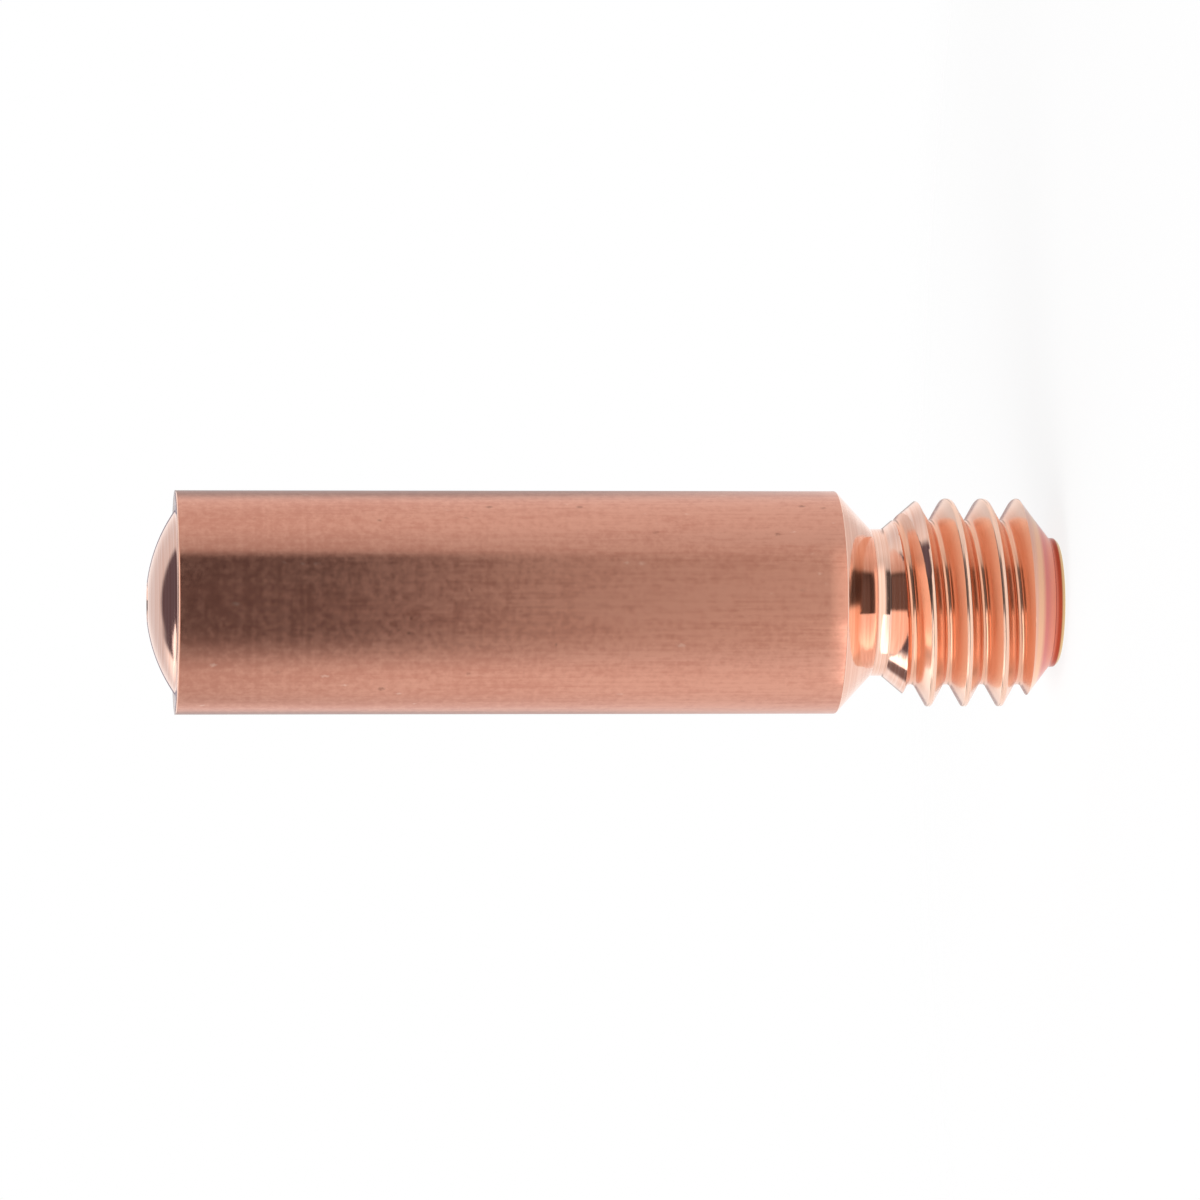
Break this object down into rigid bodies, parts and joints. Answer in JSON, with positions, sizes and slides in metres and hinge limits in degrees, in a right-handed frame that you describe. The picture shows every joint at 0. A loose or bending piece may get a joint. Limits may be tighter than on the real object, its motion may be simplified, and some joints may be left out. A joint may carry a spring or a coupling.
{
  "type": "welding contact tip",
  "caption": "Turned copper contact tip with a domed nose, a through bore that guides the welding wire, a conical shoulder and a threaded stud with a plain pilot.",
  "frame": {"origin": "centre of the stud's end face, where the axis of the wire bore leaves it", "axes": "+Z along the axis, from the stud's end face to the nose; X and Y square to it, the thread's groove sets their turn"},
  "size_m": [0.0062, 0.0062, 0.0254],
  "materials": {
    "copper": "satin drawn copper, bright on the turned faces"
  },
  "bodies": {
    "root": {"contact_tip": "copper"}
  },
  "joints": []
}
